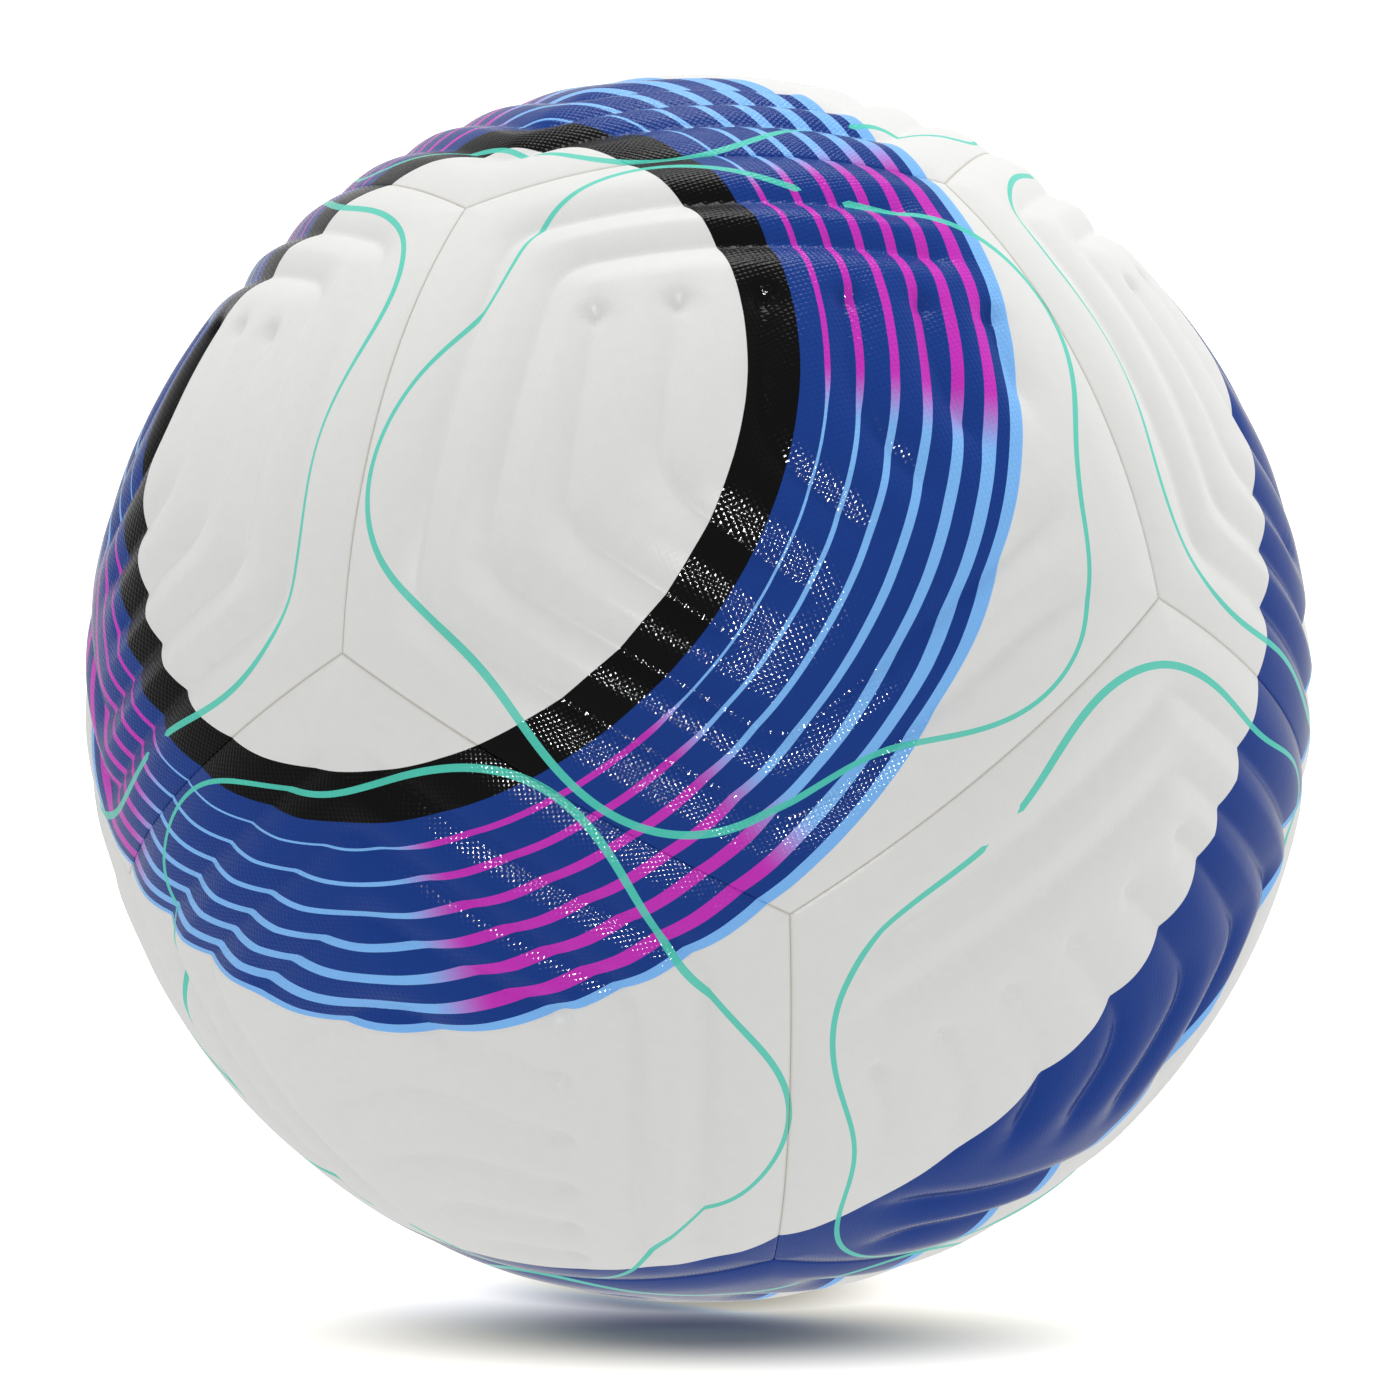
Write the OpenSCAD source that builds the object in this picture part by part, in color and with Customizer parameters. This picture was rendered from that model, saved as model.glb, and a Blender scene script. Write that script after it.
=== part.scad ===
// Soccer ball, size 5: twelve bonded cover panels over foam, a rubber carcass, a thread
// winding and a rubber bladder with its valve. Millimetres. The origin is the centre of
// the ball and +Z is up.

/* [Ball] */
// Radius of the inflated ball, over the panels
ball_r = 110; // [108.3:0.1:111.4]
// Thickness of one cover panel, between its grooves
cover_t = 2.0; // [1.2:0.1:2.4]
// Thickness of the foam bonded behind each cover panel
foam_t = 2.5; // [1.5:0.1:3.5]

/* [Layers under the panels] */
// Wall of the moulded rubber carcass
carcass_t = 1.6; // [1:0.1:2.2]
// Thickness of the nylon thread wound on the bladder
winding_t = 0.9; // [0.5:0.1:1.2]
// Wall of the rubber bladder
bladder_t = 1.0; // [0.6:0.1:1.4]
// Clearance between one layer and the next
layer_gap = 0.05; // [0.02:0.01:0.1]

/* [Seams] */
// Width of the joint between two neighbouring panels
seam_w = 0.8; // [0.5:0.1:1.5]
// Depth from the ball's surface down to the bonding bead
seam_depth = 0.9; // [0.4:0.1:1.4]
// Clearance on each side of the bonding bead
bead_gap = 0.05; // [0.02:0.01:0.1]

/* [Valve] */
// Radius of the needle hole in the valve plug
needle_r = 1.2; // [0.9:0.05:1.4]
// Radius of the valve plug
plug_r = 2.4; // [2.1:0.1:2.6]
// Radius of the collar that keeps the plug in its housing
collar_r = 3.1; // [2.9:0.1:3.3]
// Length of that collar
collar_len = 2; // [1:0.5:3]
// Radius of the valve housing's stem
stem_r = 4.0; // [3.8:0.1:4.4]
// Radius of the bulb that hangs inside the bladder
bulb_r = 4.6; // [4.2:0.1:5.5]
// Radius of the housing's flange
flange_r = 11; // [9:0.5:14]
// Thickness of the flange and of the patch around it
flange_t = 1.0; // [0.6:0.1:1.4]
// Depth from the ball's surface to the tip of the bulb
valve_depth = 18; // [16:0.5:24]
// Outer radius of the patch around the valve
patch_r = 17; // [15:0.5:22]
// Depth from the ball's surface to the top of the housing's stem
stem_sink = 0.6; // [0.4:0.1:1.2]
// Depth from the top of the stem to the top of the plug
plug_sink = 0.5; // [0.3:0.1:1]

/* [Balance patch] */
// Radius of the patch opposite the valve
balance_r = 14; // [8:0.5:20]
// Thickness of that patch
balance_t = 1.5; // [0.8:0.1:2.5]

/* [Pose] */
// How the ball lies: its turn about X
turn_x = 66.3; // [-180:0.1:180]
// Its turn about Y
turn_y = 0.9; // [-180:0.1:180]
// Its turn about Z
turn_z = -29.5; // [-180:0.1:180]

/* [Hidden] */
PANELS = 12;
// The golden ratio sets the directions of a dodecahedron's faces.
golden = (1 + sqrt(5)) / 2;
side_signs = [-1, 1];
face_rays = concat(
    [for (a = side_signs, b = side_signs) [a, 0, b * golden]],
    [for (a = side_signs, b = side_signs) [0, a * golden, b]],
    [for (a = side_signs, b = side_signs) [a * golden, b, 0]]
);
faces = [for (ray = face_rays) ray / norm(ray)];
// Two faces share a seam when the cosine of the angle between them is 1/sqrt(5).
seam_cos = 1 / sqrt(5);
cos_slack = 0.01;
valve_face = 0;
// The poles of the bead's shell lie inside two panels, turned so that no seam runs along a
// meridian through them.
pole_turn = 20;
valve_dir = faces[valve_face];

cover_in = ball_r - cover_t;
foam_out = cover_in - layer_gap;
foam_in = foam_out - foam_t;
carcass_out = foam_in - layer_gap;
carcass_in = carcass_out - carcass_t;
winding_out = carcass_in - layer_gap;
winding_in = winding_out - winding_t;
bladder_out = winding_in - layer_gap;
bladder_in = bladder_out - bladder_t;
inside_r = bladder_in - layer_gap;
bead_r = ball_r - seam_depth;

valve_tip = ball_r - valve_depth;
stem_top = ball_r - stem_sink;
stem_clearance = 0.3;
valve_hole_r = stem_r + stem_clearance;
plug_clearance = 0.05;
// Floor of the housing under the plug, and the hole in it that the needle passes
tip_wall = 1.5;
tip_hole_clearance = 0.5;
tip_hole_r = needle_r + tip_hole_clearance;
plug_bottom = valve_tip + tip_wall + plug_clearance;
plug_top = stem_top - plug_sink;
// The collar starts this far above the plug's foot.
collar_rise = 4;
collar_bottom = plug_bottom + collar_rise;
// Funnel that guides the needle in
mouth_r = 2.0;
mouth_depth = 1;

// Longer than any piece, for cutting tools
reach = 2 * ball_r;
cut_past = 1;

cover_names = [for (i = [1:PANELS]) str("cover_panel_", i)];
foam_names = [for (i = [1:PANELS]) str("foam_backing_", i)];
$fn = 96;

// Turns the children's +Z to the given direction.
module facing(dir) {
    rotate([0, acos(dir[2]), atan2(dir[1], dir[0])]) children();
}

// Lays the finished ball in its resting position.
module as_it_lies() {
    rotate([turn_x, turn_y, turn_z]) children();
}

module shell(r_out, r_in) {
    difference() {
        sphere(r = r_out);
        sphere(r = r_in);
    }
}

// The wedge of space that belongs to one panel, pulled back from every seam by edge_gap.
module panel_cell(face, edge_gap) {
    neighbours = [for (f = faces) if (abs(f * faces[face] - seam_cos) < cos_slack) f];
    intersection_for (other = neighbours) {
        across = faces[face] - other;
        facing(across / norm(across))
            translate([-reach, -reach, edge_gap])
                cube([2 * reach, 2 * reach, reach]);
    }
}

module panel_solid(face, r_out, r_in) {
    difference() {
        intersection() {
            shell(r_out, r_in);
            panel_cell(face, seam_w / 2);
        }
        if (face == valve_face) valve_hole();
    }
}

module valve_hole() {
    facing(valve_dir) cylinder(h = reach, r = valve_hole_r);
}

// A round patch that follows the inside of the bladder.
module inside_patch(dir, r, t) {
    intersection() {
        shell(inside_r, inside_r - t);
        facing(dir) cylinder(h = reach, r = r);
    }
}

module cover_panel(face) {
    color("white") as_it_lies() panel_solid(face, ball_r, cover_in);
}

module foam_backing(face) {
    color("gainsboro") as_it_lies() panel_solid(face, foam_out, foam_in);
}

module seam_bond() {
    color("whitesmoke") as_it_lies() difference() {
        facing(valve_dir) rotate([0, 0, pole_turn]) shell(bead_r, foam_in);
        for (face = [0:PANELS - 1]) panel_cell(face, seam_w / 2 - bead_gap);
    }
}

// One closed layer with the hole that the valve's stem passes through.
module bored_layer(r_out, r_in) {
    as_it_lies() difference() {
        shell(r_out, r_in);
        valve_hole();
    }
}

module carcass() {
    color("dimgray") bored_layer(carcass_out, carcass_in);
}

module thread_winding() {
    color("ivory") bored_layer(winding_out, winding_in);
}

module bladder() {
    color([0.12, 0.12, 0.13]) bored_layer(bladder_out, bladder_in);
}

module valve_housing() {
    color([0.2, 0.2, 0.22]) as_it_lies() difference() {
        union() {
            inside_patch(valve_dir, flange_r, flange_t);
            facing(valve_dir) {
                translate([0, 0, inside_r - flange_t])
                    cylinder(h = stem_top - inside_r + flange_t, r = stem_r);
                translate([0, 0, valve_tip])
                    cylinder(h = inside_r - flange_t / 2 - valve_tip, r = bulb_r);
            }
        }
        facing(valve_dir) {
            translate([0, 0, valve_tip + tip_wall])
                cylinder(h = reach, r = plug_r + plug_clearance);
            translate([0, 0, valve_tip - cut_past])
                cylinder(h = tip_wall + 2 * cut_past, r = tip_hole_r);
            translate([0, 0, collar_bottom - plug_clearance])
                cylinder(h = collar_len + 2 * plug_clearance, r = collar_r + plug_clearance);
        }
    }
}

module valve_plug() {
    color("black") as_it_lies() facing(valve_dir) difference() {
        union() {
            translate([0, 0, plug_bottom]) cylinder(h = plug_top - plug_bottom, r = plug_r);
            translate([0, 0, collar_bottom]) cylinder(h = collar_len, r = collar_r);
        }
        translate([0, 0, plug_bottom - cut_past])
            cylinder(h = plug_top - plug_bottom + 2 * cut_past, r = needle_r);
        translate([0, 0, plug_top - mouth_depth])
            cylinder(h = mouth_depth, r1 = needle_r, r2 = mouth_r);
    }
}

module valve_patch() {
    color("dimgray") as_it_lies() difference() {
        inside_patch(valve_dir, patch_r, flange_t);
        facing(valve_dir) cylinder(h = reach, r = flange_r + layer_gap);
    }
}

module balance_patch() {
    color("dimgray") as_it_lies() inside_patch(-valve_dir, balance_r, balance_t);
}

for (i = [0:PANELS - 1]) {
    cover_panel(i);
    foam_backing(i);
}
seam_bond();
carcass();
thread_winding();
bladder();
valve_housing();
valve_plug();
valve_patch();
balance_patch();
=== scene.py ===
"""Looks of the soccer ball: embossed, printed cover panels over pillowy foam, around the CAD frame.

Lengths are metres in Blender and millimetres where a name ends in _mm. The cover panels and
their foam are built here from one panel pattern; every other piece is a CAD node.
"""

import math

import bpy
import numpy as np
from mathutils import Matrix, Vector


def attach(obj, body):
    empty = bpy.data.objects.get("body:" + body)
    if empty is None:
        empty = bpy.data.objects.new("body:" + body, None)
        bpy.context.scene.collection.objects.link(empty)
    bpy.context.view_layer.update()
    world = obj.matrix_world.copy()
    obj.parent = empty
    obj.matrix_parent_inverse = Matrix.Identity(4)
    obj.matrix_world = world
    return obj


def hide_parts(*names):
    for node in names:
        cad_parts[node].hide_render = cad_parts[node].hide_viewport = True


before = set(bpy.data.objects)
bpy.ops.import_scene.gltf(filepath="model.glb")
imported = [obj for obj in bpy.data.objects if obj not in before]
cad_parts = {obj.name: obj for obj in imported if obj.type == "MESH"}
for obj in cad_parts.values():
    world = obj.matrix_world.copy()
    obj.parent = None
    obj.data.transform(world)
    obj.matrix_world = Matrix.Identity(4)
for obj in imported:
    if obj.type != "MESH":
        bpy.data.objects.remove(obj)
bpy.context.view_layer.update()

MM = 0.001
GOLDEN = (1 + math.sqrt(5)) / 2
SIDES = 5

# ---------------------------------------------------------------- sizes, in millimetres
BALL_R_MM = 110.0
SKIN_MM = 1.2  # printed cover over the foam
FOAM_IN_MM = 105.45
FOAM_GAP_MM = 0.05
THINNEST_FOAM_MM = 0.1
WALL_BACK_MM = 0.42  # the walls stand this far back from the seam, under lips that touch
LIP_UNDER_MM = 109.13  # underside of the lips, just over the bead
SEAM_ROUND_MM = 0.6  # rounding of a panel's rim
SEAM_DEPTH_MM = 0.1  # how far a panel's rim drops
VALLEY_DEPTH_MM = 1.85  # depth of an embossed groove
VALLEY_REACH_MM = 6.8  # from a groove to the crest beside it
VALLEY_POWER = 2.0  # how steeply a groove's sides rise
GROOVE_BOTTOM_MM = 0.2  # rounding at the foot of a groove
FOAM_WIDER_MM = 0.9  # how much wider the foam's grooves are
SEAM_VALLEY_MM = 0.9  # the soft fall towards a seam
CREST_MM = 0.5  # how far the pillowy crests stand out of the nominal ball
DOT_DEPTH_MM = 1.0  # the dimples at the ends of the short grooves
DOT_REACH_MM = 1.6
VALVE_HOLE_MM = 4.3
VALVE_PAD_MM = 9.0  # smooth disc around the valve

# ---------------------------------------------------------------- how the ball lies
BALL_TURN_DEG = (66.3, 0.9, -29.5)  # as part.scad turns it


def turn_matrix(degrees):
    """OpenSCAD's rotate([x, y, z])."""
    x, y, z = (math.radians(d) for d in degrees)
    about_x = np.array([[1, 0, 0], [0, math.cos(x), -math.sin(x)], [0, math.sin(x), math.cos(x)]])
    about_y = np.array([[math.cos(y), 0, math.sin(y)], [0, 1, 0], [-math.sin(y), 0, math.cos(y)]])
    about_z = np.array([[math.cos(z), -math.sin(z), 0], [math.sin(z), math.cos(z), 0], [0, 0, 1]])
    return about_z @ about_y @ about_x


LAY = turn_matrix(BALL_TURN_DEG)
SIGNS = (-1, 1)


def unit(v):
    v = np.asarray(v, float)
    return v / np.linalg.norm(v, axis=-1, keepdims=True)


face_dirs = unit(
    [(a, 0, b * GOLDEN) for a in SIGNS for b in SIGNS]
    + [(0, a * GOLDEN, b) for a in SIGNS for b in SIGNS]
    + [(a * GOLDEN, b, 0) for a in SIGNS for b in SIGNS]
)
corner_dirs = unit(
    [(a, b, c) for a in SIGNS for b in SIGNS for c in SIGNS]
    + [
        corner
        for a in SIGNS
        for b in SIGNS
        for corner in (
            (0, a / GOLDEN, b * GOLDEN),
            (a / GOLDEN, b * GOLDEN, 0),
            (a * GOLDEN, 0, b / GOLDEN),
        )
    ]
)
VALVE_FACE = 0

# Which way each panel's embossing points: face, corner that the chevrons point at, and the
# neighbouring corner on their dotted side. The other six panels mirror these through the centre.
FRONT_LAY = ((3, 11, 17), (1, 11, 17), (7, 17, 7), (5, 11, 5), (11, 19, 7), (10, 16, 19))


def lay_of_panels():
    lays = {}
    for face, apex, side in FRONT_LAY:
        n, a, s = face_dirs[face], corner_dirs[apex], corner_dirs[side]
        lays[face] = (n, a, s)
        back = int(np.argmax(face_dirs @ -n))
        lays[back] = (-n, -a, -s)
    return lays


def panel_axes(n, apex, side):
    """Panel frame as columns: x to the dotted side, y to the chevrons' corner, z outward."""
    y = unit(apex - n * (apex @ n))
    x = np.cross(y, n)
    if x @ side < 0:
        x = -x
    return LAY @ np.stack([x, y, n], axis=1)


# ---------------------------------------------------------------- the panel pattern
# Flat coordinates are those of the plane that touches the ball at the panel's middle, with the
# ball's radius as 1. Straight lines there are great circles on the ball.
APOTHEM = math.tan(math.acos(1 / math.sqrt(5)) / 2)
CORNER_R = APOTHEM / math.cos(math.pi / SIDES)
PENTAGON = [
    np.array([math.sin(2 * math.pi * k / SIDES), math.cos(2 * math.pi * k / SIDES)]) * CORNER_R
    for k in range(SIDES)
]
LONG_GROOVES = 2
SHORT_GROOVES = 6
FIRST_OFFSET = 0.150  # from a seam to the first groove
OFFSET_STEP = 0.114  # from one groove to the next
LEG_END_Y = -0.47  # where the long grooves stop
APEX_TOP = 0.296  # the first short chevron's point, and the steps from one to the next
APEX_STEP = 0.1464
DOT_TOP = 0.121
DOT_STEP = 0.116
ARM_TOP = 0.113
ARM_STEP = 0.110
LEG_BEND_Y = LEG_END_Y + 0.14  # where the outermost groove's left leg turns outward
LEG_SPLAY = 0.05  # how far it turns out at its end
LONG_ROUND = 0.05  # rounding of the long grooves' corners
SHORT_ROUND, SHORT_ROUND_STEP = 0.05, 0.02  # the chevrons' points get rounder
SHORT_CURVE_STEPS = 11
SHORT_STRENGTH = 0.9  # depth of a short groove next to a long one
LONG_FADES = (0.16, 0.05)  # lengths over which a groove fades in and out at its ends
SHORT_FADES = (0.10, 0.02)
END_STRENGTH = 0.35  # depth left at a groove's last end
MOST_OF_SIDE = 0.45  # a corner's rounding takes no more of a side than this


def side_line(k, offset):
    """A point and the direction of the line inside side k, from corner k to the next."""
    a, b = PENTAGON[k % SIDES], PENTAGON[(k + 1) % SIDES]
    along = unit(b - a)
    inward = np.array([along[1], -along[0]])
    return a + inward * offset, along


def cross_of(line_a, line_b):
    (p, u), (q, v) = line_a, line_b
    t = np.linalg.solve(np.stack([u, -v], axis=1), q - p)[0]
    return p + u * t


def at_height(line, y):
    p, u = line
    return p + u * (y - p[1]) / u[1]


def rounded(points, radius, steps=7):
    """A path through the points with each corner rounded off over the given distance."""
    path = [points[0]]
    for before, corner, after in zip(points, points[1:], points[2:]):
        room_in = np.linalg.norm(before - corner)
        room_out = np.linalg.norm(after - corner)
        r = min(radius, room_in * MOST_OF_SIDE, room_out * MOST_OF_SIDE)
        start = corner + (before - corner) / room_in * r
        end = corner + (after - corner) / room_out * r
        for t in np.linspace(0, 1, steps):
            path.append(start * (1 - t) ** 2 + corner * 2 * t * (1 - t) + end * t**2)
    path.append(points[-1])
    return path


def spread(path, step=0.02):
    """The path with points no further apart than step."""
    out = [path[0]]
    for a, b in zip(path, path[1:]):
        pieces = max(1, int(math.ceil(np.linalg.norm(b - a) / step)))
        out += [a + (b - a) * (i + 1) / pieces for i in range(pieces)]
    return np.array(out)


def groove_paths():
    """Every groove of a panel as (points, depth at each point), and the dots at their ends."""
    grooves, dots = [], []
    for k in range(LONG_GROOVES):
        off = FIRST_OFFSET + OFFSET_STEP * k
        lines = [side_line(s, off) for s in (3, 4, 0, 1)]
        left_end = at_height(lines[0], LEG_END_Y) - np.array([LEG_SPLAY * (1 - k), 0])
        left_leg = at_height(lines[0], LEG_BEND_Y)
        right_end = at_height(lines[3], LEG_END_Y)
        corners = [cross_of(a, b) for a, b in zip(lines, lines[1:])]
        path = spread(rounded([left_end, left_leg] + corners + [right_end], LONG_ROUND))
        grooves.append((path, end_fade(path, *LONG_FADES)))
    end_off = FIRST_OFFSET + OFFSET_STEP * LONG_GROOVES
    for k in range(SHORT_GROOVES):
        apex = np.array([0, APEX_TOP - APEX_STEP * k])
        left = at_height(side_line(3, end_off), ARM_TOP - ARM_STEP * k)
        right = at_height(side_line(1, end_off), DOT_TOP - DOT_STEP * k)
        radius = SHORT_ROUND + SHORT_ROUND_STEP * k
        path = spread(rounded([left, apex, right], radius, SHORT_CURVE_STEPS))
        grooves.append((path, end_fade(path, *SHORT_FADES) * SHORT_STRENGTH))
        dots.append(right)
    return grooves, np.array(dots)


def ease(t):
    """A smooth step from 0 to 1."""
    return t * t * (3 - 2 * t)


def end_fade(path, start, end):
    """1 along a path, easing to 0 at its first end and to END_STRENGTH at its last."""
    run = np.concatenate([[0], np.cumsum(np.linalg.norm(np.diff(path, axis=0), axis=1))])
    rise = np.clip(run / start, 0, 1)
    fall = np.clip((run[-1] - run) / end, 0, 1)
    return ease(rise) * (END_STRENGTH + (1 - END_STRENGTH) * ease(fall))


def on_sphere(flat):
    """Flat panel coordinates to unit directions in the panel's own frame."""
    flat = np.asarray(flat, float)
    return unit(np.concatenate([flat, np.ones(flat.shape[:-1] + (1,))], axis=-1))


GROOVES, DOTS = groove_paths()


def segment_distance(points, a, b):
    """Distance of each point to segment ab, and how far along the segment the nearest point is."""
    ab = b - a
    t = np.clip((points - a) @ ab / (ab @ ab), 0, 1)
    return np.linalg.norm(points - a - t[:, None] * ab, axis=1), t


def relief_mm(flat, with_valve=False, wider_mm=0.0):
    """Height of the embossed surface over the smooth ball at flat panel coordinates."""
    dirs = on_sphere(flat)
    p = dirs * BALL_R_MM
    depth = np.zeros(len(p))
    for path, strength in GROOVES:
        q = on_sphere(path) * BALL_R_MM
        for a, b, s0, s1 in zip(q, q[1:], strength, strength[1:]):
            dist, t = segment_distance(p, a, b)
            dist = np.hypot(np.maximum(dist - wider_mm, 0), GROOVE_BOTTOM_MM)
            rise = np.clip(1 - dist / VALLEY_REACH_MM, 0, 1) ** VALLEY_POWER
            depth = np.maximum(depth, VALLEY_DEPTH_MM * (s0 + (s1 - s0) * t) * rise)
    if with_valve:
        from_valve = np.linalg.norm(p - np.array([0, 0, BALL_R_MM]), axis=1)
        depth *= np.clip((from_valve - VALVE_PAD_MM) / VALVE_PAD_MM, 0, 1)
    for dot in on_sphere(DOTS) * BALL_R_MM:
        dist = np.maximum(np.linalg.norm(p - dot, axis=1) - wider_mm, 0)
        depth += DOT_DEPTH_MM * np.exp(-((dist / DOT_REACH_MM) ** 2))
    edge = seam_distance_mm(dirs)
    soft = np.clip(1 - edge / VALLEY_REACH_MM, 0, 1) ** VALLEY_POWER
    depth = np.maximum(depth, SEAM_VALLEY_MM * soft)
    rim = np.clip(1 - edge / SEAM_ROUND_MM, 0, 1)
    depth += SEAM_DEPTH_MM * rim**2
    return CREST_MM - depth


def seam_distance_mm(dirs):
    """Distance along the ball from each direction to the nearest rim of its panel."""
    nearest = np.full(len(dirs), np.inf)
    for k in range(SIDES):
        a, b = on_sphere(PENTAGON[k]), on_sphere(PENTAGON[(k + 1) % SIDES])
        across = unit(np.cross(b, a))
        if across[2] < 0:
            across = -across
        angle = np.arcsin(np.clip(dirs @ across, -1, 1))
        nearest = np.minimum(nearest, angle * BALL_R_MM)
    return np.maximum(nearest, 0)


# ---------------------------------------------------------------- panel meshes
ROWS = 96
RIM_STEPS_MM = (1.6, 1.1, 0.75, 0.5, 0.3, 0.12, 0.0)


def pentagon_ring(scale, count):
    """count points evenly along each side of the pentagon, scaled, starting at corner 0."""
    ring = []
    for k in range(SIDES):
        a, b = PENTAGON[k] * scale, PENTAGON[(k + 1) % SIDES] * scale
        ring += [a + (b - a) * i / count for i in range(count)]
    return np.array(ring)


def rim_scale(back_mm):
    """Scale of the pentagon whose sides lie back_mm inside the panel's rim."""
    return math.tan(math.atan(APOTHEM) - back_mm / BALL_R_MM) / APOTHEM


def triangle_rows(rows, outer_scale):
    """Flat points and triangles of a pentagon filled from its middle out."""
    reach = math.atan(APOTHEM * outer_scale)
    points, faces = [np.zeros((1, 2))], []
    starts = [0]
    for i in range(1, rows + 1):
        starts.append(1 + SIDES * i * (i - 1) // 2)
        scale = math.tan(reach * i / rows) / APOTHEM
        points.append(pentagon_ring(scale, i))
    for i in range(1, rows + 1):
        inner, outer = starts[i - 1], starts[i]
        for k in range(SIDES):
            for j in range(i):
                o0 = outer + k * i + j
                o1 = outer + (k * i + j + 1) % (SIDES * i)
                n_in = max(SIDES * (i - 1), 1)
                i0 = inner + (k * (i - 1) + j) % n_in
                faces.append((i0, o0, o1))
                if j < i - 1:
                    i1 = inner + (k * (i - 1) + j + 1) % n_in
                    faces.append((i0, o1, i1))
    return np.concatenate(points), faces


def strip(a, b, count):
    """Quads between two closed rings of count points that start at a and b."""
    return [(a + j, b + j, b + (j + 1) % count, a + (j + 1) % count) for j in range(count)]


def hole_rows(rows, outer_scale, hole_r_mm, count):
    """Flat points and quads between a round hole in the middle and the pentagon."""
    hole = math.tan(hole_r_mm / BALL_R_MM)
    outer = pentagon_ring(outer_scale, count)
    angle = np.arctan2(outer[:, 0], outer[:, 1])
    circle = np.stack([np.sin(angle), np.cos(angle)], axis=1) * hole
    points, faces = [], []
    total = SIDES * count
    for i in range(rows + 1):
        t = i / rows
        points.append(circle * (1 - t) + outer * t)
        if i:
            faces += strip((i - 1) * total, i * total, total)
    return np.concatenate(points), faces


def flat_panel(rows, valve):
    """The flat layout of a panel's outer surface, with fine rings along its rim."""
    main = rim_scale(RIM_STEPS_MM[0])
    if valve:
        points, faces = hole_rows(rows, main, VALVE_HOLE_MM, rows)
        last = rows * SIDES * rows
    else:
        points, faces = triangle_rows(rows, main)
        last = 1 + SIDES * rows * (rows - 1) // 2
    points = [points]
    total = SIDES * rows
    start = last
    size = len(points[0])
    for back in RIM_STEPS_MM[1:]:
        points.append(pentagon_ring(rim_scale(back), rows))
        faces += strip(start, size, total)
        start = size
        size += total
    return np.concatenate(points), faces, start


class Layout:
    """The flat points and faces of one panel, and the height of its relief at each point."""

    def __init__(self, rows, valve, wider_mm=0.0):
        self.rows, self.valve = rows, valve
        self.flat, self.faces, self.rim = flat_panel(rows, valve)
        self.dirs = on_sphere(self.flat)
        # the underside and the walls stand back from the seam, clear of the bond bead
        self.set_back = on_sphere(self.flat * rim_scale(WALL_BACK_MM) / rim_scale(0))
        self.relief = relief_mm(self.flat, valve, wider_mm)
        self.edge = seam_distance_mm(self.dirs)


def shell_mesh(name, layout, outer_mm, inner_mm, axes, paint=None):
    """A closed panel: outer and inner surfaces over one flat layout, and the walls between.

    A painted panel is a cover, whose outer surface ends in a thin lip over the bond bead.
    """
    count = len(layout.flat)
    total = SIDES * layout.rows
    rim = np.arange(layout.rim, layout.rim + total)
    above = layout.dirs if paint else layout.set_back
    rings = [
        above * np.broadcast_to(outer_mm, count)[:, None],
        layout.set_back * np.broadcast_to(inner_mm, count)[:, None],
    ]
    faces = layout.faces + [tuple(count + i for i in reversed(f)) for f in layout.faces]
    if paint:
        rings.append(layout.set_back[rim] * LIP_UNDER_MM)
        faces += strip(layout.rim, 2 * count, total)
        faces += strip(2 * count, count + layout.rim, total)
    else:
        faces += strip(layout.rim, count + layout.rim, total)
    if layout.valve:
        faces += strip(count, 0, total)
    if np.linalg.det(axes) > 0:
        faces = [tuple(reversed(f)) for f in faces]
    verts = np.concatenate(rings) @ axes.T * MM
    mesh = bpy.data.meshes.new(name)
    mesh.from_pydata(verts.tolist(), [], faces)
    smooth = np.arange(len(faces)) < 2 * len(layout.faces)
    mesh.polygons.foreach_set("use_smooth", smooth)
    ordered = np.concatenate([np.arange(count), np.arange(count), rim])[: len(verts)]
    add_numbers(mesh, "panel_mm", layout.flat[ordered] * BALL_R_MM)
    layer = mesh.attributes.new("rim_mm", "FLOAT", "POINT")
    layer.data.foreach_set("value", layout.edge[ordered].astype(np.float32))
    if paint is not None:
        own, other = paint(unit(verts[:count]))
        hidden = np.broadcast_to([FAR_MM, 0.0], (count + total, 2))
        add_numbers(mesh, "own_line_mm", np.concatenate([own, hidden]))
        add_numbers(mesh, "other_line_mm", np.concatenate([other, hidden]))
    mesh.update()
    piece = bpy.data.objects.new(name, mesh)
    bpy.context.scene.collection.objects.link(piece)
    return piece


def add_numbers(mesh, name, values):
    """Two numbers for each point of the mesh, for its material to read."""
    layer = mesh.attributes.new(name, "FLOAT2", "POINT")
    layer.data.foreach_set("vector", values.astype(np.float32).ravel())


# ---------------------------------------------------------------- the printed contour lines
# The same wavy loop on every panel. Angles run clockwise from the loop's own up.
LINE_MM = 1.05
FAR_MM = 99.0  # stands for no line near
END_DEG = 0.6  # how fast the line ends at its gap
LINE_SWELL = 0.25  # the line's width varies by this share, twice round
LINE_SWELL_PHASE = 1
LOOP_MEAN = 0.56  # mean radius
LOOP_WAVES = ((0.05, 5, 0), (0.02, 2, 40))  # size, number round the loop, phase in degrees
GAP_AT_DEG = 180
GAP_WIDTH_DEG = 8
LOOP_TURN_DEG = 137.5  # each panel's loop is turned by this much more than the last panel's
LEAST_DEPTH, LEAST_R = 0.15, 0.05  # keep the divisions below finite
FACING_AWAY = 0.2


def loop_radius(angle):
    r = np.full_like(angle, LOOP_MEAN)
    for size, number, phase in LOOP_WAVES:
        r += size * np.cos(number * (angle - math.radians(phase)))
    return r


def loop_slope(angle):
    turn = np.zeros_like(angle)
    for size, number, phase in LOOP_WAVES:
        turn -= size * number * np.sin(number * (angle - math.radians(phase)))
    return turn


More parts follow.
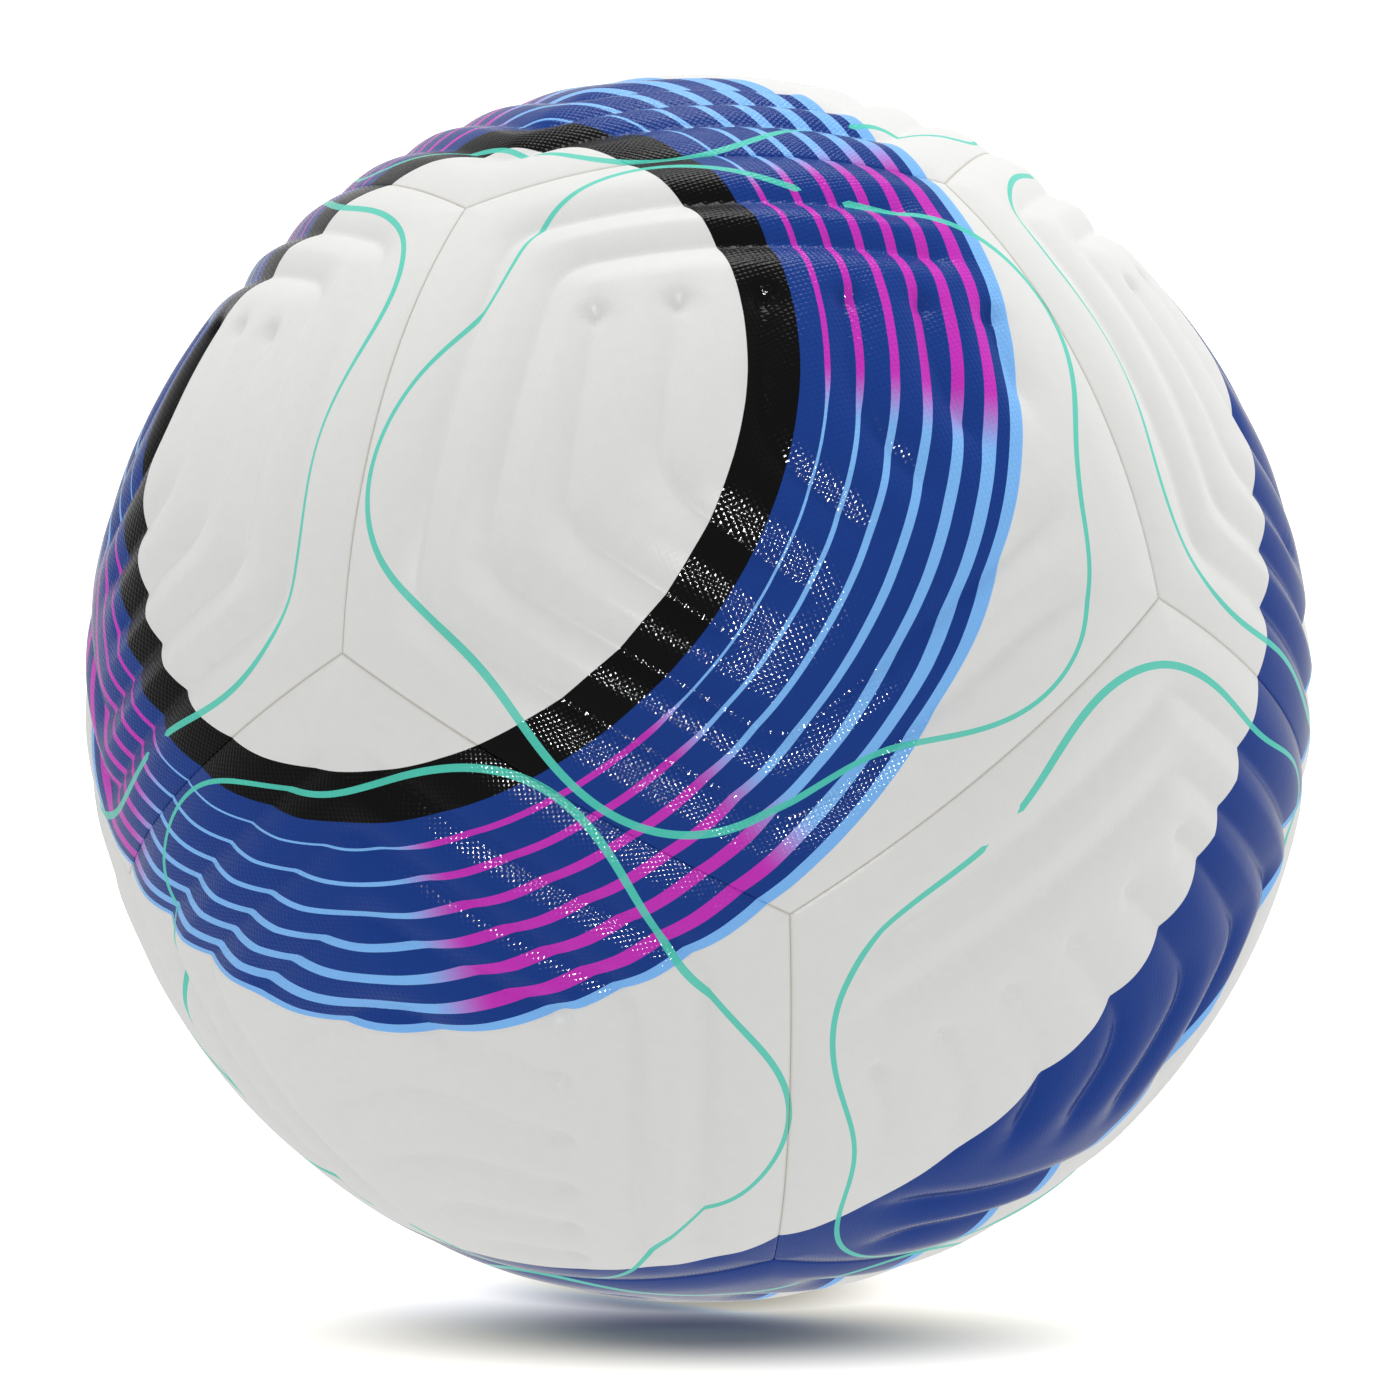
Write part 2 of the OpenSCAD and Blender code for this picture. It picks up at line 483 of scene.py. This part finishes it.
def loop_line(dirs, axes):
    """Distance from the line, positive outside the loop, and its half width: both in mm."""
    local = dirs @ axes
    depth = np.maximum(local[:, 2], LEAST_DEPTH)
    x, y = local[:, 0] / depth, local[:, 1] / depth
    angle, r = np.arctan2(x, y), np.maximum(np.hypot(x, y), LEAST_R)
    radial_mm = BALL_R_MM / (1 + r**2)
    around_mm = BALL_R_MM * r / np.sqrt(1 + r**2)
    steep = np.sqrt(1 / radial_mm**2 + (loop_slope(angle) / around_mm) ** 2)
    distance = (r - loop_radius(angle)) / steep
    away = np.abs((np.degrees(angle) - GAP_AT_DEG + 180) % 360 - 180)
    shown = np.clip((away - GAP_WIDTH_DEG / 2) / END_DEG, 0, 1)
    half = LINE_MM / 2 * shown * (1 + LINE_SWELL * np.sin(2 * angle + LINE_SWELL_PHASE))
    distance[local[:, 2] < FACING_AWAY] = FAR_MM
    return np.stack([distance, half], axis=1)


def loop_axes():
    """The axes that the loop is drawn in on every panel."""
    placed = {}
    for face, (n, apex, _) in lay_of_panels().items():
        up = unit(apex - n * (apex @ n))
        turn = math.radians(LOOP_TURN_DEG * face)
        y = up * math.cos(turn) + np.cross(n, up) * math.sin(turn)
        placed[face] = LAY @ np.stack([np.cross(y, n), y, n], axis=1)
    return placed


def line_painter(face, placed):
    """For directions on a panel: its own line, and the nearest of its neighbours' lines."""

    def paint(dirs):
        own = loop_line(dirs, placed[face])
        others = [loop_line(dirs, axes) for other, axes in placed.items() if other != face]
        distances = np.stack([o[:, 0] for o in others])
        nearest = np.argmin(distances, axis=0)
        halves = np.stack([o[:, 1] for o in others])
        pick = np.arange(len(dirs))
        return own, np.stack([distances[nearest, pick], halves[nearest, pick]], axis=1)

    return paint


# ---------------------------------------------------------------- materials
def srgb(r, g, b):
    """An sRGB colour of 0 to 255 as a linear colour."""
    parts = [c / 255 for c in (r, g, b)]
    return tuple(c / 12.92 if c <= 0.04045 else ((c + 0.055) / 1.055) ** 2.4 for c in parts) + (1,)


class Nodes:
    """Short calls for building one material's nodes."""

    def __init__(self, name):
        self.mat = bpy.data.materials.new(name)
        self.mat.use_nodes = True
        self.tree = self.mat.node_tree
        self.shader = self.tree.nodes["Principled BSDF"]

    def link(self, value, socket):
        if hasattr(value, "is_output"):
            self.tree.links.new(value, socket)
        else:
            socket.default_value = value

    def node(self, kind, inputs=(), **settings):
        made = self.tree.nodes.new(kind)
        for key, value in settings.items():
            setattr(made, key, value)
        for key, value in dict(inputs).items():
            self.link(value, made.inputs[key])
        return made

    def math(self, operation, a, b=None, c=None):
        made = self.tree.nodes.new("ShaderNodeMath")
        made.operation = operation
        for socket, value in zip(made.inputs, (a, b, c)):
            if value is not None:
                self.link(value, socket)
        return made.outputs[0]

    def vector(self, operation, a, b=None):
        made = self.tree.nodes.new("ShaderNodeVectorMath")
        made.operation = operation
        self.link(a, made.inputs[0])
        if b is not None:
            self.link(b, made.inputs[1])
        return made.outputs["Value" if operation in ("DOT_PRODUCT", "LENGTH") else "Vector"]

    def mix(self, factor, a, b):
        made = self.tree.nodes.new("ShaderNodeMix")
        made.data_type = "RGBA"
        self.link(factor, made.inputs["Factor"])
        self.link(a, made.inputs["A"])
        self.link(b, made.inputs["B"])
        return made.outputs["Result"]

    def between(self, value, low, high):
        """1 where value is between low and high."""
        above = self.math("GREATER_THAN", value, low)
        below = self.math("LESS_THAN", value, high)
        return self.math("MULTIPLY", above, below)

    def eased(self, value, low, high, at_low, at_high):
        """at_low below low and at_high above high, with a smooth step between."""
        made = self.node("ShaderNodeMapRange", {"Value": value}, interpolation_type="SMOOTHSTEP")
        made.inputs["From Min"].default_value = low
        made.inputs["From Max"].default_value = high
        made.inputs["To Min"].default_value = at_low
        made.inputs["To Max"].default_value = at_high
        return made.outputs["Result"]

    def scaled(self, colour, factor):
        made = self.vector("SCALE", colour)
        self.link(factor, made.node.inputs["Scale"])
        return made

    def noise(self, scale, detail):
        inputs = {"Scale": scale, "Detail": detail, "Roughness": 0.5, "Vector": self.position()}
        return self.node("ShaderNodeTexNoise", inputs).outputs["Fac"]

    def position(self):
        return self.node("ShaderNodeTexCoord").outputs["Object"]

    def attribute(self, name, output="Fac"):
        return self.node("ShaderNodeAttribute", attribute_name=name).outputs[output]

    def bump(self, height, strength, distance_mm, normal=None):
        made = self.node("ShaderNodeBump", {"Strength": strength, "Distance": distance_mm * MM})
        self.link(height, made.inputs["Height"])
        if normal is not None:
            self.link(normal, made.inputs["Normal"])
        return made.outputs["Normal"]


WHITE = srgb(222, 222, 220)
BLACK = srgb(12, 12, 13)
BLUE = srgb(26, 60, 136)
LIGHT_BLUE = srgb(126, 184, 244)
MAGENTA = srgb(196, 52, 184)
TEAL = srgb(84, 204, 184)
GLUE = srgb(188, 180, 160)
GLUE_HALF_MM = 0.38  # the line of glue that shows in a white seam
GLUE_SHOWS = 0.3
TEAL_COVERS = 0.92
WANDER_DEG = 0.14  # how far the printed edges wander
WANDER_SCALE = 90
GRAIN_SCALE = 420
TINT_LEAST, TINT_RANGE = 0.975, 0.05
BARE_ROUGHNESS, INK_SMOOTHER, ROUGHNESS_RANGE = 0.38, -0.26, 0.08
COVER_SPECULAR = 0.06
PIMPLE_MM = 0.9  # from one pimple of the cover's grain to the next
PIMPLE_HEIGHT_MM = 0.055
SPECK_SCALE, SPECK_HEIGHT = 1500, 0.8  # fine specks among the pimples
BARE_GRAIN, INK_GRAIN = 0.25, 0.75  # the grain off the rings, and how much more is on them
LEATHER_SCALE, LEATHER_STRENGTH, LEATHER_MM = 240, 0.25, 0.12

# The rings' axis, and the directions that azimuths around it are measured from
RING_AXIS = LAY @ np.array([0, 0, 1])
RING_ZERO = LAY @ np.array([1, 0, 0])
RING_SIDE = LAY @ np.array([0, 1, 0])
# Edges of the printed rings, as angles in degrees from the middle of the white disc
DISC_EDGE = 30.3
BLACK_EDGE = 34.4
STRIPES_EDGE = 52.0
OUTLINE_EDGE = 52.92
OUTLINE_AT = 50  # azimuth where the outline of the stripes is widest
OUTLINE_SWELL = 0.34  # how far its edge moves out there
BAND_START = 85.3
BAND_END = 104.3
BAND_OUTLINE = 105.5
FIRST_STRIPE = 36.6
STRIPE_STEP = 2.74
STRIPES = 6
# Width of the first stripe, and how much wider each next one is
LIGHT_WIDTH, LIGHT_GROWTH = 0.2, 0.16  # where the stripes are light blue
MAGENTA_WIDTH, MAGENTA_GROWTH = 0.5, 0.13
MAGENTA_STRETCHES = 4  # times the stripes turn magenta on the way round
MAGENTA_AT = 30  # azimuth of the middle of a magenta stretch
WAVE_LIGHT, WAVE_MAGENTA = -0.1, 0.45  # where on a cosine wave the colours begin
SWELL_AT = 65  # azimuth where the light-blue stripes are widest
SWELL = 0.35  # how much wider they are there


def ring_angles(n):
    """Nodes for the angle from the rings' axis in degrees, and the azimuth around it in turns."""
    where = n.vector("NORMALIZE", n.position())
    height = n.vector("DOT_PRODUCT", where, tuple(RING_AXIS))
    polar = n.math("MULTIPLY", n.math("ARCCOSINE", height), 180 / math.pi)
    across = n.vector("DOT_PRODUCT", where, tuple(RING_ZERO))
    side = n.vector("DOT_PRODUCT", where, tuple(RING_SIDE))
    turn = n.math("DIVIDE", n.math("ARCTAN2", side, across), 2 * math.pi)
    return polar, n.math("FRACT", n.math("ADD", turn, 1.0))


def facing(n, turn, azimuth, times=1):
    """A cosine wave around the rings with a crest at the azimuth, and so many crests in all."""
    along = n.math("SUBTRACT", turn, azimuth / 360)
    return n.math("COSINE", n.math("MULTIPLY", along, 2 * math.pi * times))


def on_line(n, name):
    """1 within a contour line; the attribute holds the distance from it and its half width."""
    parts = n.node("ShaderNodeSeparateXYZ", {"Vector": n.attribute(name, "Vector")})
    return n.math("LESS_THAN", n.math("ABSOLUTE", parts.outputs["X"]), parts.outputs["Y"])


def cover_material():
    n = Nodes("printed_cover")
    polar, turn = ring_angles(n)
    # a printer's small wander keeps the edges from being perfect
    wander = n.math("SUBTRACT", n.noise(WANDER_SCALE, 2), 0.5)
    polar = n.math("ADD", polar, n.math("MULTIPLY", wander, WANDER_DEG))
    grain = n.noise(GRAIN_SCALE, 4)
    tint = n.math("MULTIPLY_ADD", grain, TINT_RANGE, TINT_LEAST)

    # the stripes turn from light blue to magenta and back at even steps around the rings
    wave = facing(n, turn, MAGENTA_AT, MAGENTA_STRETCHES)
    magenta = n.eased(wave, WAVE_LIGHT, WAVE_MAGENTA, 0.0, 1.0)
    stripe = n.mix(magenta, LIGHT_BLUE, MAGENTA)
    light = n.math("SUBTRACT", 1.0, magenta)

    # the light blue swells towards one side
    swell = n.math("MULTIPLY", n.math("MAXIMUM", facing(n, turn, SWELL_AT), 0.0), SWELL)

    colour = n.mix(n.between(polar, DISC_EDGE, BLACK_EDGE), WHITE, BLACK)
    colour = n.mix(n.between(polar, BLACK_EDGE, STRIPES_EDGE), colour, BLUE)
    for i in range(STRIPES):
        middle = FIRST_STRIPE + STRIPE_STEP * i
        light_half = (LIGHT_WIDTH + LIGHT_GROWTH * i) / 2
        magenta_half = (MAGENTA_WIDTH + MAGENTA_GROWTH * i) / 2
        half = n.math("MULTIPLY_ADD", magenta, magenta_half - light_half, light_half)
        half = n.math("MULTIPLY", half, n.math("MULTIPLY_ADD", swell, light, 1.0))
        off = n.math("ABSOLUTE", n.math("SUBTRACT", polar, middle))
        colour = n.mix(n.math("LESS_THAN", off, half), colour, stripe)
    swollen = n.math("MULTIPLY_ADD", facing(n, turn, OUTLINE_AT), OUTLINE_SWELL, OUTLINE_EDGE)
    colour = n.mix(n.between(polar, STRIPES_EDGE, swollen), colour, LIGHT_BLUE)
    colour = n.mix(n.between(polar, BAND_START, BAND_END), colour, BLUE)
    colour = n.mix(n.between(polar, BAND_END, BAND_OUTLINE), colour, LIGHT_BLUE)
    line = n.math("MAXIMUM", on_line(n, "own_line_mm"), on_line(n, "other_line_mm"))
    colour = n.mix(n.math("MULTIPLY", line, TEAL_COVERS), colour, TEAL)
    on_rings = n.between(polar, DISC_EDGE, OUTLINE_EDGE)
    inked = n.math("ADD", on_rings, n.between(polar, BAND_START, BAND_END))
    glue = n.eased(n.attribute("rim_mm"), GLUE_HALF_MM / 2, GLUE_HALF_MM, GLUE_SHOWS, 0.0)
    colour = n.mix(n.math("MULTIPLY", glue, n.math("SUBTRACT", 1.0, inked)), colour, GLUE)
    n.link(n.scaled(colour, tint), n.shader.inputs["Base Color"])

    rough = n.math("MULTIPLY_ADD", inked, INK_SMOOTHER, BARE_ROUGHNESS)
    uneven = n.math("MULTIPLY", n.math("SUBTRACT", grain, 0.5), ROUGHNESS_RANGE)
    n.link(n.math("ADD", rough, uneven), n.shader.inputs["Roughness"])
    n.shader.inputs["Specular IOR Level"].default_value = COVER_SPECULAR

    # the cover's fine pimpled grain, and a leathery unevenness
    parts = n.node("ShaderNodeSeparateXYZ", {"Vector": n.attribute("panel_mm", "Vector")})
    turns = math.pi / PIMPLE_MM
    wave_x = n.math("ABSOLUTE", n.math("SINE", n.math("MULTIPLY", parts.outputs["X"], turns)))
    wave_y = n.math("ABSOLUTE", n.math("SINE", n.math("MULTIPLY", parts.outputs["Y"], turns)))
    pimples = n.math("MULTIPLY", wave_x, wave_y)
    height = n.math("MULTIPLY_ADD", n.noise(SPECK_SCALE, 2), SPECK_HEIGHT, pimples)
    share = n.math("MULTIPLY_ADD", on_rings, INK_GRAIN, BARE_GRAIN)
    normal = n.bump(n.math("MULTIPLY", height, share), 1.0, PIMPLE_HEIGHT_MM)
    normal = n.bump(n.noise(LEATHER_SCALE, 3), LEATHER_STRENGTH, LEATHER_MM, normal)
    n.link(normal, n.shader.inputs["Normal"])
    return n.mat


MOTTLE_SCALE = 0.15  # the mottling is this much coarser than the skin
MOTTLE_LEAST, MOTTLE_RANGE = 0.85, 0.3
RUBBER_UNEVEN = 0.2  # range of the roughness
SKIN_STRENGTH = 0.5


def rubber_material(name, colour, roughness, scale, depth_mm):
    """Moulded rubber: mottled colour, uneven roughness and a fine skin."""
    n = Nodes(name)
    patches = n.noise(scale * MOTTLE_SCALE, 3)
    shade = n.math("MULTIPLY_ADD", patches, MOTTLE_RANGE, MOTTLE_LEAST)
    n.link(n.scaled(colour[:3], shade), n.shader.inputs["Base Color"])
    smoothest = roughness - RUBBER_UNEVEN / 2
    uneven = n.math("MULTIPLY_ADD", n.noise(scale, 3), RUBBER_UNEVEN, smoothest)
    n.link(uneven, n.shader.inputs["Roughness"])
    n.link(n.bump(n.noise(scale, 5), SKIN_STRENGTH, depth_mm), n.shader.inputs["Normal"])
    return n.mat


def foam_material():
    n = Nodes("closed_cell_foam")
    cells = n.node("ShaderNodeTexVoronoi", {"Scale": 1600.0, "Vector": n.position()})
    # darker towards each cell's middle, where the bump sinks into a pit: painted shade in the
    # cells' hollows
    shade = n.math("MULTIPLY_ADD", cells.outputs["Distance"], 0.25, 0.82)
    n.link(n.scaled(srgb(226, 224, 216)[:3], shade), n.shader.inputs["Base Color"])
    n.shader.inputs["Roughness"].default_value = 0.85
    n.link(n.bump(cells.outputs["Distance"], 0.6, 0.12), n.shader.inputs["Normal"])
    return n.mat


THREAD_STEP = 0.0007
THREAD_BEND = 25.0  # how far the threads wander from straight
THREAD_WAYS = ((0.3, 0.9, 0.3), (0.9, -0.2, 0.4), (-0.5, 0.4, 0.8))


def winding_material():
    """Thread wound in many directions: three crossing sets of fine lines."""
    n = Nodes("wound_thread")
    bend = n.noise(25, 2)
    height = None
    for way in THREAD_WAYS:
        run = n.vector("DOT_PRODUCT", n.position(), way)
        run = n.math("MULTIPLY", run, 2 * math.pi / THREAD_STEP)
        phase = n.math("MULTIPLY_ADD", bend, THREAD_BEND, run)
        wave = n.math("ABSOLUTE", n.math("SINE", phase))
        height = wave if height is None else n.math("MAXIMUM", height, wave)
    # the thread is darker where its relief is low: painted shade in the gaps between the threads
    colour = n.mix(height, srgb(176, 164, 128), srgb(226, 218, 190))
    n.link(colour, n.shader.inputs["Base Color"])
    n.shader.inputs["Roughness"].default_value = 0.7
    n.link(n.bump(height, 0.6, 0.2), n.shader.inputs["Normal"])
    return n.mat


# ---------------------------------------------------------------- build the ball
def build_panels():
    loops = loop_axes()
    cover_mat, foam_mat = cover_material(), foam_material()
    fine = {valve: Layout(ROWS, valve) for valve in (False, True)}
    coarse = {valve: Layout(ROWS // 2, valve, FOAM_WIDER_MM) for valve in (False, True)}
    for face, (n, apex, side) in lay_of_panels().items():
        valve = face == VALVE_FACE
        axes = panel_axes(n, apex, side)
        top = BALL_R_MM + fine[valve].relief
        foam_top = BALL_R_MM + coarse[valve].relief - SKIN_MM - FOAM_GAP_MM
        foam_top = np.maximum(foam_top, FOAM_IN_MM + THINNEST_FOAM_MM)
        name = f"printed_panel_{face + 1}"
        paint = line_painter(face, loops)
        cover = shell_mesh(name, fine[valve], top, top - SKIN_MM, axes, paint)
        foam = shell_mesh(f"foam_pad_{face + 1}", coarse[valve], foam_top, FOAM_IN_MM, axes)
        cover.data.materials.append(cover_mat)
        foam.data.materials.append(foam_mat)
        for piece, node, slot in (
            (cover, f"cover_panel_{face + 1}", "cover"),
            (foam, f"foam_backing_{face + 1}", "foam"),
        ):
            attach(piece, "root")
            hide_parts(node)


def dress_cad_nodes():
    looks = {
        "seam_bond": rubber_material("bond_bead", srgb(206, 206, 202), 0.5, 900, 0.05),
        "carcass": rubber_material("carcass_rubber", srgb(52, 52, 55), 0.7, 700, 0.1),
        "thread_winding": winding_material(),
        "bladder": rubber_material("butyl", srgb(28, 28, 30), 0.4, 300, 0.04),
        "valve_housing": rubber_material("valve_rubber", srgb(38, 38, 41), 0.6, 900, 0.05),
        "valve_plug": rubber_material("plug_rubber", srgb(22, 22, 23), 0.35, 1200, 0.03),
        "valve_patch": rubber_material("patch_rubber", srgb(60, 60, 63), 0.7, 800, 0.08),
    }
    looks["balance_patch"] = looks["valve_patch"]
    for node, mat in looks.items():
        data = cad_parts[node].data
        data.materials.clear()
        data.materials.append(mat)


# ---------------------------------------------------------------- stage, light and camera
GROUND_Z = -BALL_R_MM * MM
# The floor is flat out to here, and then curves up like a bowl
BOWL_FLAT_R = 1.6
BOWL_CURVE_R = 0.9
BOWL_TOP_Z = 1.2
BOWL_CURVE_STEPS = 24
BOWL_AROUND = 96
# The paper glows white outside an oval that holds the ball's soft shadow, and outside a small
# round spot under the ball.
GLOW = 1.0
GLOW_FROM = 0.012
GLOW_FULL = 0.1
SHADOW_Y = -0.038  # middle of the oval, and how much narrower it is front to back
SHADOW_SQUEEZE = 2.4
SPOT_FROM = 0.01
SPOT_FULL = 0.05
PAPER = ((0.51, 0.485, 0.41, 1), (0.54, 0.515, 0.44, 1))  # the two tones of its speckle


def stage_material():
    """White paper: lit by the lamps near the ball, and glowing further out."""
    n = Nodes("pale_floor")
    n.link(n.mix(n.noise(30, 2), *PAPER), n.shader.inputs["Base Color"])
    n.shader.inputs["Roughness"].default_value = 0.9
    n.shader.inputs["Specular IOR Level"].default_value = 0.1
    n.shader.inputs["Emission Color"].default_value = (1, 1, 1, 1)
    place = n.node("ShaderNodeSeparateXYZ", {"Vector": n.position()})
    forward = n.math("MULTIPLY", n.math("SUBTRACT", place.outputs["Y"], SHADOW_Y), SHADOW_SQUEEZE)
    squares = n.math("ADD", n.math("POWER", place.outputs["X"], 2.0), n.math("POWER", forward, 2.0))
    glow = n.eased(n.math("SQRT", squares), GLOW_FROM, GLOW_FULL, 0.0, GLOW)
    flat = n.vector("MULTIPLY", n.position(), (1, 1, 0))
    spot = n.eased(n.vector("LENGTH", flat), SPOT_FROM, SPOT_FULL, 0.0, GLOW)
    glow = n.math("MINIMUM", glow, spot)
    n.link(glow, n.shader.inputs["Emission Strength"])
    return n.mat


def build_stage():
    """A round white floor that curves up all the way round, so every view has the same ground."""
    profile = [(0.0, 0.0), (BOWL_FLAT_R, 0.0)]
    for i in range(1, BOWL_CURVE_STEPS + 1):
        a = math.radians(90 * i / BOWL_CURVE_STEPS)
        out, up = BOWL_CURVE_R * math.sin(a), BOWL_CURVE_R * (1 - math.cos(a))
        profile.append((BOWL_FLAT_R + out, up))
    profile.append((BOWL_FLAT_R + BOWL_CURVE_R, BOWL_TOP_Z + BOWL_CURVE_R))
    around = BOWL_AROUND
    verts, faces = [(0, 0, GROUND_Z)], []
    for r, z in profile[1:]:
        for j in range(around):
            a = 2 * math.pi * j / around
            verts.append((r * math.cos(a), r * math.sin(a), GROUND_Z + z))
    for j in range(around):
        faces.append((0, 1 + j, 1 + (j + 1) % around))
    for i in range(len(profile) - 2):
        faces += strip(1 + i * around, 1 + (i + 1) * around, around)
    mesh = bpy.data.meshes.new("studio_floor")
    mesh.from_pydata(verts, [], faces)
    mesh.polygons.foreach_set("use_smooth", np.ones(len(mesh.polygons), bool))
    floor = bpy.data.objects.new("studio_floor", mesh)
    bpy.context.scene.collection.objects.link(floor)
    floor.data.materials.append(stage_material())
    # the paper doesn't light the ball, so that the print keeps its depth low down
    floor.visible_diffuse = False
    floor.visible_glossy = False


def area_light(name, place, size, watts):
    """A round lamp that faces the ball."""
    light = bpy.data.lights.new(name, "AREA")
    light.energy = watts
    light.shape = "DISK"
    light.size = size
    light.spread = math.pi
    lamp = bpy.data.objects.new(name, light)
    bpy.context.scene.collection.objects.link(lamp)
    lamp.location = place
    lamp.rotation_mode = "QUATERNION"
    lamp.rotation_quaternion = Vector(place).to_track_quat("Z", "Y")
    return lamp


WORLD_LIGHT = 0.84
WORLD_FALL = 0.14  # how much less light comes from straight above than from the side


def build_world():
    """Even white light, with a little more from below, as off a white table."""
    world = bpy.data.worlds.new("studio")
    bpy.context.scene.world = world
    world.use_nodes = True
    tree = world.node_tree
    background = tree.nodes["Background"]
    background.inputs["Color"].default_value = (1, 1, 1, 1)
    height = tree.nodes.new("ShaderNodeSeparateXYZ")
    place = tree.nodes.new("ShaderNodeTexCoord").outputs["Generated"]
    tree.links.new(place, height.inputs["Vector"])
    strength = tree.nodes.new("ShaderNodeMath")
    strength.operation = "MULTIPLY_ADD"
    tree.links.new(height.outputs["Z"], strength.inputs[0])
    strength.inputs[1].default_value = -WORLD_FALL
    strength.inputs[2].default_value = WORLD_LIGHT
    tree.links.new(strength.outputs[0], background.inputs["Strength"])


def build_light():
    build_world()
    area_light("top_softbox", (0, 0.1, 1.1), size=0.6, watts=6.1)
    area_light("left_softbox", (-1.2, -0.7, 0.9), size=0.6, watts=2.3)
    right = area_light("right_softbox", (1.3, -0.5, 0.2), size=0.6, watts=1.3)
    right.visible_glossy = False
    rim = area_light("rim_softbox", (1.0, 0.35, 0.5), size=0.5, watts=3.0)
    rim.visible_glossy = False
    # a small lamp low in front that only glints on the grain
    glint = area_light("glint_lamp", (-0.05, -1.2, 0.10), size=0.10, watts=42.0)
    glint.visible_diffuse = False


LENS_MM = 74.66
SENSOR_MM = 36
CAMERA_BACK = 0.534
CAMERA_SHIFT = (0.0011, -0.0082)


def build_camera():
    camera = bpy.data.objects.new("camera", bpy.data.cameras.new("camera"))
    bpy.context.scene.collection.objects.link(camera)
    camera.location = (0, -CAMERA_BACK, 0)
    camera.rotation_euler = (math.radians(90), 0, 0)
    camera.data.lens = LENS_MM
    camera.data.sensor_width = SENSOR_MM
    camera.data.shift_x, camera.data.shift_y = CAMERA_SHIFT
    bpy.context.scene.camera = camera


build_camera()
build_panels()
dress_cad_nodes()
build_stage()
build_light()
bpy.context.scene.view_settings.view_transform = "Standard"
